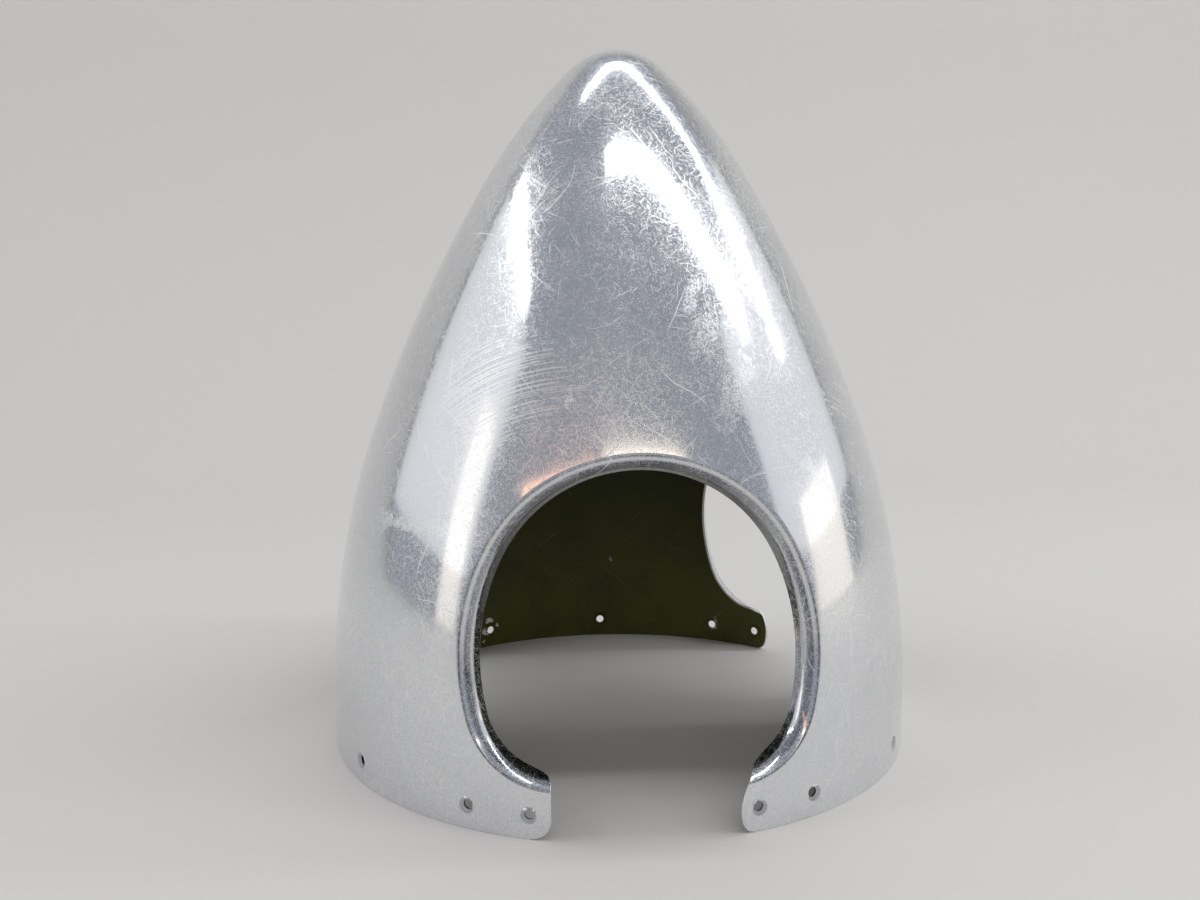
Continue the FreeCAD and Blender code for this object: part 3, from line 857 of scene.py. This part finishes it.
def makeHairScratches():
    # one straight or curling scratch in each cell of a loose pattern
    inputs = {"Place": (0.0, 0.0, 0.0), "Facing": (0.0, 0.0, 1.0), "Length": 10.0, "Width": 0.2,
              "Share": 0.5, "Curl": 0.0}
    tree, given, result = newGroup("hairScratches", inputs, ["Mask"])
    spot = scaled(tree, given["Place"], maths(tree, "DIVIDE", 1.0, given["Length"]))
    drift = put(tree, "ShaderNodeTexNoise", {"Vector": spot, "Scale": 1.1, "Detail": 1.0}).outputs["Color"]
    curl = maths(tree, "DIVIDE", given["Curl"], given["Length"])
    spot = vectors(tree, "ADD", spot, scaled(tree, drift, curl))
    cell = put(tree, "ShaderNodeTexVoronoi", {"Vector": spot, "Scale": 1.0}).outputs
    pick = put(tree, "ShaderNodeTexWhiteNoise", {"Vector": cell["Position"]}).outputs
    lean = vectors(tree, "SUBTRACT", pick["Color"], (0.5, 0.5, 0.5))
    side = vectors(tree, "NORMALIZE", vectors(tree, "CROSS_PRODUCT", given["Facing"], lean))
    offset = vectors(tree, "SUBTRACT", spot, cell["Position"])
    across = maths(tree, "ABSOLUTE", vectors(tree, "DOT_PRODUCT", offset, side))
    across = times(tree, across, given["Length"])
    line = ramp(tree, across, times(tree, given["Width"], 0.3), given["Width"], 1.0, 0.0)
    ends = ramp(tree, cell["Distance"], 0.3, 0.62, 1.0, 0.0)
    kept = ramp(tree, pick["Value"], times(tree, given["Share"], 0.5), given["Share"], 1.0, 0.0)
    return finishGroup(tree, result, {"Mask": times(tree, times(tree, line, ends), kept)})


def makeScuffPatch():
    # an oval patch about a centre, long along one direction, with edges as ragged as Ragged makes them
    inputs = {"Place": (0.0, 0.0, 0.0), "Centre": (0.0, 0.0, 0.0), "Along": (1.0, 0.0, 0.0),
              "Length": 20.0, "Width": 8.0, "Ragged": 0.0}
    tree, given, result = newGroup("scuffPatch", inputs, ["Mask"])
    offset = vectors(tree, "SUBTRACT", given["Place"], given["Centre"])
    along = vectors(tree, "DOT_PRODUCT", offset, given["Along"])
    away = maths(tree, "SUBTRACT", vectors(tree, "DOT_PRODUCT", offset, offset), times(tree, along, along))
    across = maths(tree, "SQRT", maths(tree, "ABSOLUTE", away))
    lengthwise, crosswise = (maths(tree, "DIVIDE", times(tree, size, 2.0), full)
                             for size, full in ((along, given["Length"]), (across, given["Width"])))
    reach = plus(tree, times(tree, lengthwise, lengthwise), times(tree, crosswise, crosswise))
    reach = plus(tree, maths(tree, "SQRT", reach), given["Ragged"])
    return finishGroup(tree, result, {"Mask": ramp(tree, reach, 0.55, 1.05, 1.0, 0.0)})


def makeBuffArcs():
    # fine rings about a centre, uneven in strength and spacing
    inputs = {"Place": (0.0, 0.0, 0.0), "Centre": (0.0, 0.0, 0.0), "Spacing": 1.4}
    tree, given, result = newGroup("buffArcs", inputs, ["Mask"])
    rings = bands(tree, vectors(tree, "DISTANCE", given["Place"], given["Centre"]), given["Spacing"], 0.0)
    return finishGroup(tree, result, {"Mask": ramp(tree, rings, 0.46, 0.6)})


handling = {
    # cloudy layers: size in millimetres, detail, roughness, low, high and what these become
    "crowding": (45.0, 3.0, 0.6, 0.3, 0.6, 0.5, 1.0),    # places with more and fewer scratches
    "clouds": (55.0, 4.0, 0.6, 0.42, 0.7),               # of the haze
    "mottle": (2.0, 3.0, 0.7, 0.44, 0.66),
    "hairs": 0.5,          # size of marks so fine that they only dull the shine
    "hairStrength": (0.57, 0.67, 0.0, 0.6),
    "swell": 70.0,         # size of the sheet's slight unevenness
    "ripple": 14.0,
    "rippleShare": 0.05,   # height of the ripple against the swell
    # scratches, finest first: length, width, share of the places, curl, strength
    "scratches": ((2.6, 0.22, 1.0, 0.3, 0.55), (3.6, 0.22, 1.0, 0.8, 0.6), (5.0, 0.24, 1.0, 0.8, 0.65),
                  (8.0, 0.26, 1.0, 2.0, 0.75), (14.0, 0.3, 0.9, 4.0, 0.85), (34.0, 0.36, 0.7, 14.0, 1.0)),
    "shift": (17.0, 31.0, 7.0),    # from one layer of scratches to the next
}


def scratchMask(tree, spot, facing, length, width, share, curl):
    inputs = {"Place": spot, "Facing": facing, "Length": length, "Width": width, "Share": share,
              "Curl": curl}
    return placeGroup(tree, hairScratches, inputs)["Mask"]


def makeHandledMetal(v):
    # scratches from handling and cleaning, cloudy haze, and the sheet's slight unevenness
    inputs = {"Place": (0.0, 0.0, 0.0), "Facing": (0.0, 0.0, 1.0)}
    tree, given, result = newGroup("handledMetal", inputs, ["Scratches", "Haze", "Height"])
    spot, masks = given["Place"], []
    for number, (*shape, strength) in enumerate(v["scratches"]):
        moved = vectors(tree, "ADD", spot, tuple(number * step for step in v["shift"]))
        masks.append(times(tree, scratchMask(tree, moved, given["Facing"], *shape), strength))
    crowded = clouded(tree, spot, *v["crowding"])
    scratches = times(tree, strongest(tree, masks), crowded)
    haze = plus(tree, clouded(tree, spot, *v["clouds"]), clouded(tree, spot, *v["mottle"]))
    haze = times(tree, haze, 0.5)
    hairs = plus(tree, noise(tree, spot, v["hairs"], 2.0, 0.7), times(tree, haze, 0.1))
    scratches = maths(tree, "MAXIMUM", scratches, ramp(tree, hairs, *v["hairStrength"]))
    ripple = times(tree, noise(tree, spot, v["ripple"], 1.0), v["rippleShare"])
    height = plus(tree, noise(tree, spot, v["swell"], 0.0), ripple)
    return finishGroup(tree, result, {"Scratches": scratches, "Haze": haze, "Height": height})


hairScratches = makeHairScratches()
scuffPatch = makeScuffPatch()
buffArcs = makeBuffArcs()
handledMetal = makeHandledMetal(handling)
print("shared effects made")


def leaning(angle, height, lean):
    # the point of the outside at an angle and height, and the direction that leans up from level by lean
    run = solve(0.0, outlineRun, lambda run: skin(0.0, run, 0.0)[0][2] >= height)
    angle, lean = math.radians(angle), math.radians(lean)
    point, normal = skin(angle, run, 0.0)
    sideways = np.array([math.cos(angle), math.sin(angle), 0.0])
    upward = np.cross(normal, sideways)
    return tuple(point), tuple(sideways * math.cos(lean) + upward * math.sin(lean))


def patchMask(tree, spot, ragged, angle, height, length, width, lean):
    centre, along = leaning(angle, height, lean)
    inputs = {"Place": spot, "Centre": centre, "Along": along, "Length": length, "Width": width,
              "Ragged": ragged}
    return placeGroup(tree, scuffPatch, inputs)["Mask"]


def raggedness(tree, spot, amount):
    return times(tree, maths(tree, "SUBTRACT", noise(tree, spot, 5.0, 4.0, 0.7), 0.5), amount)


# the polished outside

polish = {
    "bright": (0.73, 0.745, 0.775),
    "dulled": (0.79, 0.80, 0.82),
    "marked": (0.97, 0.97, 0.965),
    "roughness": (0.085, 0.17, 0.5),      # clean, hazed, and in a scratch or scuff
    "waviness": 0.00013,
    "ragged": (3.6, 0.5),                 # unevenness of the edges of scuffs and of deep scratches
    "grit": (1.1, 3.0, 0.7, 0.4, 0.6, 0.2, 1.0),          # cloudy layer that breaks up a scuff
    "swirling": 0.6,                      # strength of the buffing arcs
    "rimRidges": 0.3,                     # height of the ridges along the rim, as a share of the waviness
    "rimRidgeStep": 2.4,
    # painted reflection: the dark bluish colour of the rim's reflection bands
    "paintedReflectionColour": (0.1, 0.11, 0.145),
    "reflectionBandClouds": (35.0, 2.0, 0.5, 0.3, 0.7, 0.7, 1.1),
    # painted dark reflection bands along the rolled rim: place across it, from the bend to the free edge,
    # and strength
    "reflectionBandStops": ((0.0, 0.0), (0.07, 0.0), (0.12, 0.95), (0.2, 0.2), (0.28, 0.0), (0.4, 0.9), (0.6, 0.7),
                 (0.7, 0.15), (0.8, 0.45), (0.92, 0.0)),
    # scuffed patches: angle from the first opening's middle, height, length, width, lean, strength
    "scuffs": ((-48, 147, 66, 9, 2, 0.9), (-57, 146, 22, 12, -8, 0.8), (15.5, 262, 30, 9, 62, 0.7),
               (17, 243, 34, 16, 70, 0.6), (22, 214, 50, 18, 60, 0.55), (-15, 213, 13, 5, 76, 0.9),
               (-24, 171, 14, 3.5, 55, 0.6), (-34, 318, 22, 12, -40, 0.5), (40, 168, 46, 10, -52, 0.55),
               (-80, 120, 40, 12, 20, 0.5), (75, 230, 36, 10, 80, 0.5), (160, 205, 60, 14, 12, 0.6),
               (205, 140, 44, 12, -25, 0.6), (118, 300, 30, 12, 50, 0.5), (-140, 255, 46, 14, 65, 0.55)),
    # single deep scratches: angle, height, length, width, lean
    "scores": ((-52.8, 193, 17, 1.0, -52), (-48.4, 184, 14, 1.1, -44), (-42.7, 174, 20, 1.1, -36),
               (54, 266, 62, 0.9, 70), (-47, 221, 34, 0.8, -78), (33, 300, 26, 0.8, 58),
               (172, 236, 48, 0.9, 35), (230, 190, 40, 0.9, -60), (95, 150, 36, 0.9, 20)),
    # buffing arcs: angle and height of their centre, spacing; angle, height, length and width of the area
    "arcs": ((-12, 95, 1.1, -34, 220, 112, 60), (40, 90, 1.5, 62, 205, 60, 30),
             (165, 10, 1.6, 150, 120, 90, 50), (-95, 60, 1.5, -110, 180, 80, 50)),
}


def paintedRimReflection(tree, spot, down, v):
    # painted reflection: dark bands that follow the rim, stronger in some places along it
    stops = put(tree, "ShaderNodeValToRGB", {"Fac": maths(tree, "DIVIDE", down, opening["rimDepth"])})
    elements = stops.color_ramp.elements
    already = len(elements)
    for number, (share, strength) in enumerate(v["reflectionBandStops"]):
        stop = elements[number] if number < already else elements.new(share)
        stop.position, stop.color = share, (strength, strength, strength, 1)
    return times(tree, stops.outputs["Color"], clouded(tree, spot, *v["reflectionBandClouds"]))


def makePolished(v):
    material, tree, shader = newMaterial("polishedAluminium", v["bright"], v["roughness"][0], 1.0)
    spot, facing = surfacePlace(tree)
    worn = placeGroup(tree, handledMetal, {"Place": spot, "Facing": facing})
    ragged, fine = (raggedness(tree, spot, amount) for amount in v["ragged"])
    patches = [times(tree, patchMask(tree, spot, ragged, *scuff), strength)
               for *scuff, strength in v["scuffs"]]
    scores = [patchMask(tree, spot, fine, *score) for score in v["scores"]]
    swirls = []
    for centreAngle, centreHeight, spacing, *area in v["arcs"]:
        centre, _ = leaning(centreAngle, centreHeight, 0.0)
        rings = placeGroup(tree, buffArcs, {"Place": spot, "Centre": centre, "Spacing": spacing})["Mask"]
        swirls.append(times(tree, rings, patchMask(tree, spot, ragged, *area, 0.0)))
    grit = clouded(tree, spot, *v["grit"])
    scuffed = times(tree, strongest(tree, patches), grit)
    swirled = times(tree, strongest(tree, swirls), v["swirling"])
    marks = strongest(tree, [worn["Scratches"], scuffed, *scores, swirled])
    down = put(tree, "ShaderNodeAttribute", {}, attribute_name="rimDown").outputs["Fac"]
    metal = mixed(tree, worn["Haze"], v["bright"], v["dulled"])
    # painted reflection: the rim's dark bands are mixed into the metal's colour
    metal = mixed(tree, paintedRimReflection(tree, spot, down, v), metal, v["paintedReflectionColour"])
    feed(shader.inputs["Base Color"], mixed(tree, marks, metal, v["marked"]))
    clean, hazed, marked = v["roughness"]
    rough = plus(tree, times(tree, worn["Haze"], hazed - clean), times(tree, marks, marked - clean))
    feed(shader.inputs["Roughness"], plus(tree, rough, clean))
    ridges = bands(tree, down, v["rimRidgeStep"], 1.0)
    ridges = times(tree, ridges, ramp(tree, down, 0.0, 2.0, 0.0, v["rimRidges"]))
    roughen(tree, shader, plus(tree, worn["Height"], ridges), v["waviness"])
    return material


# the painted inside

primer = {
    # painted shade: colour is the primer darkened for the shaded inside of the dome; the lighter colour
    # below is used near the base
    "colour": (0.026, 0.03, 0.004),
    "lessShadedPaint": (0.078, 0.084, 0.011),
    "paintedShadeHeights": (30.0, 150.0),           # heights over which the painted shade deepens, from the lighter paint near the base to the dark colour higher inside
    "clouds": (40.0, 5.0, 0.6, 0.3, 0.6, 0.55, 1.0),
    "bare": (0.8, 0.8, 0.76),
    "shine": 0.3,
    "roughness": 0.42,
    "grain": 1.6,
    "texture": 0.00006,
    "ragged": 4.0,                        # unevenness of the edges of the chips
    "scratching": 0.12,
    # light scratches: shift, length, width, share of the places, curl
    "scratches": ((0.0, 9.0, 0.2, 0.3, 2.0), (40.0, 28.0, 0.3, 0.2, 9.0)),
    # chips down to the metal: angle, height, length, width, lean, strength
    "chips": ((-149.6, 12, 8, 7, 30, 1.0), (-151.4, 19.5, 8, 5, 10, 1.0), (-149.6, 5, 5, 3.5, 10, 1.0),
              (-153.3, 15, 5, 3.5, 60, 1.0), (151, 13, 9, 8, 0, 0.6), (178, 60, 12, 4, 40, 0.3),
              (32, 20, 7, 4, 30, 1.0), (-88, 17, 8, 4, 60, 1.0), (-60, 20, 6, 3, 15, 1.0)),
}


def makePrimed(v):
    material, tree, shader = newMaterial("greenPrimer", v["colour"], v["roughness"], 0.0)
    spot, facing = surfacePlace(tree)
    scratched = [scratchMask(tree, vectors(tree, "ADD", spot, (shift, 0.0, shift)), facing, *shape)
                 for shift, *shape in v["scratches"]]
    ragged = raggedness(tree, spot, v["ragged"])
    chips = [times(tree, ramp(tree, patchMask(tree, spot, ragged, *chip), 0.35, 0.6), strength)
             for *chip, strength in v["chips"]]
    chipped = strongest(tree, chips)
    level = put(tree, "ShaderNodeSeparateXYZ", {"Vector": spot}).outputs["Z"]
    # painted shade: clouds of lighter paint near the base, fading to the dark shaded colour higher inside
    cloudsAndBaseLight = clouded(tree, spot, *v["clouds"])
    cloudsAndBaseLight = times(tree, cloudsAndBaseLight, ramp(tree, level, *v["paintedShadeHeights"], 1.0, 0.0))
    paint = mixed(tree, cloudsAndBaseLight, v["colour"], v["lessShadedPaint"])
    shown = maths(tree, "MAXIMUM", times(tree, strongest(tree, scratched), v["scratching"]), chipped)
    feed(shader.inputs["Base Color"], mixed(tree, shown, paint, v["bare"]))
    feed(shader.inputs["Metallic"], ramp(tree, chipped, 0.2, 0.9))
    feed(shader.inputs["Specular IOR Level"], v["shine"])
    grain = noise(tree, spot, v["grain"], 3.0, 0.6)
    feed(shader.inputs["Roughness"], plus(tree, times(tree, grain, 0.14), v["roughness"] - 0.06))
    roughen(tree, shader, maths(tree, "SUBTRACT", grain, chipped), v["texture"], 0.6)
    return material


# the sheet's cut edges, filed and left bare

filed = {
    "colour": (0.82, 0.82, 0.81),
    "worn": (0.6, 0.6, 0.59),
    "roughness": 0.24,
    "marks": 0.9,
    "texture": 0.00006,
}


def makeFiled(v):
    material, tree, shader = newMaterial("filedEdge", v["colour"], v["roughness"], 1.0)
    spot, facing = surfacePlace(tree)
    worn = placeGroup(tree, handledMetal, {"Place": spot, "Facing": facing})
    feed(shader.inputs["Base Color"], mixed(tree, worn["Haze"], v["colour"], v["worn"]))
    marks = noise(tree, spot, v["marks"], 3.0, 0.7)
    feed(shader.inputs["Roughness"], plus(tree, times(tree, marks, 0.3), v["roughness"] - 0.08))
    roughen(tree, shader, marks, v["texture"], 0.6)
    return material


shell = makeShell([makePolished(polish), makePrimed(primer), makeFiled(filed)])
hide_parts("spinner_shell")
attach(shell, "root")
print("shell made and finished")


# floor, backdrop and light

studio = {
    "floor": (0.74, 0.73, 0.7),
    "floorRoughness": 0.75,
    "width": 7.0,          # of the floor and the backdrop
    "front": -3.0,
    "back": 1.3,
    "bend": 0.6,           # radius between floor and backdrop
    "bendPoints": 17,
    "top": 2.6,
    "room": (0.33, 0.345, 0.385),
    # place, aim, direction of the length, length and width, colour, radiance
    "lamps": {
        "rearTube": ((0.73, 0.28, 1.85), (0.15, 0.0, 0.3), (1, 0, 0), (3.5, 0.075), (1.0, 1.0, 1.0), 12.0),
        "frontTube": ((0.79, -0.63, 1.85), (0.15, 0.0, 0.3), (1, 0, 0), (2.3, 0.13), (1.0, 1.0, 1.0), 10.0),
        "leftTube": ((-1.75, -0.02, 1.85), (0.0, 0.0, 0.3), (0, 1, 0), (1.5, 0.09), (1.0, 1.0, 1.0), 12.0),
        "leftCard": ((-1.5, -0.55, 0.5), (0.0, 0.0, 0.2), (0, 1, 0), (0.27, 0.95), (1.0, 0.91, 0.76), 0.8),
        "rightCard": ((1.55, -0.1, 0.25), (0.0, 0.0, 0.2), (0, 1, 0), (0.62, 0.44), (1.0, 0.92, 0.78), 0.8),
        "creamCard": ((0.3, -2.2, 1.31), (0.0, 0.0, 0.2), (1, 0, 0), (1.5, 0.2), (1.0, 0.86, 0.66), 2.3),
        "warmCard": ((-1.25, -2.2, 1.28), (0.0, 0.0, 0.2), (1, 0, 0), (1.5, 0.17), (1.0, 0.5, 0.3), 2.0),
        "leftWall": ((-2.4, -0.05, 1.2), (0.0, 0.0, 0.25), (0, 1, 0), (2.4, 1.7), (1.0, 0.99, 0.97), 0.5),
        "rightWall": ((2.4, -0.05, 1.2), (0.0, 0.0, 0.25), (0, 1, 0), (2.4, 1.7), (1.0, 0.99, 0.97), 0.5),
    },
}


def makeBackdrop(v):
    # floor that turns up into a wall behind
    section = [(v["front"], 0.0)]
    for turn in np.linspace(0, math.pi / 2, v["bendPoints"]):
        section.append((v["back"] - v["bend"] * (1 - math.sin(turn)), v["bend"] * (1 - math.cos(turn))))
    section.append((v["back"], v["top"]))
    half = v["width"] / 2
    points = [(x, y, z) for y, z in section for x in (-half, half)]
    faces = [(2 * i, 2 * i + 1, 2 * i + 3, 2 * i + 2) for i in range(len(section) - 1)]
    data = bpy.data.meshes.new("floor")
    data.from_pydata(points, [], faces)
    data.shade_smooth()
    data.materials.append(newMaterial("floorPaint", v["floor"], v["floorRoughness"], 0.0)[0])
    floor = addObject("floor", data)


def makeLamp(name, spot, aim, along, size, colour, radiance):
    data = bpy.data.lights.new(name, "AREA")
    data.shape = "RECTANGLE"
    data.size, data.size_y = size
    data.color = colour
    data.energy = radiance * math.pi * size[0] * size[1]
    away = (Vector(spot) - Vector(aim)).normalized()
    side = Vector(along)
    side = (side - away * side.dot(away)).normalized()
    setPlace(addObject(name, data), spot, side, away)


def makeRoom(v):
    world = bpy.data.worlds.new("room")
    bpy.context.scene.world = world
    world.use_nodes = True
    world.node_tree.nodes["Background"].inputs["Color"].default_value = (*v["room"], 1)


makeBackdrop(studio)
makeRoom(studio)
for name, values in studio["lamps"].items():
    makeLamp(name, *values)
print("floor and lamps placed")

bpy.context.scene.view_settings.view_transform = "Standard"
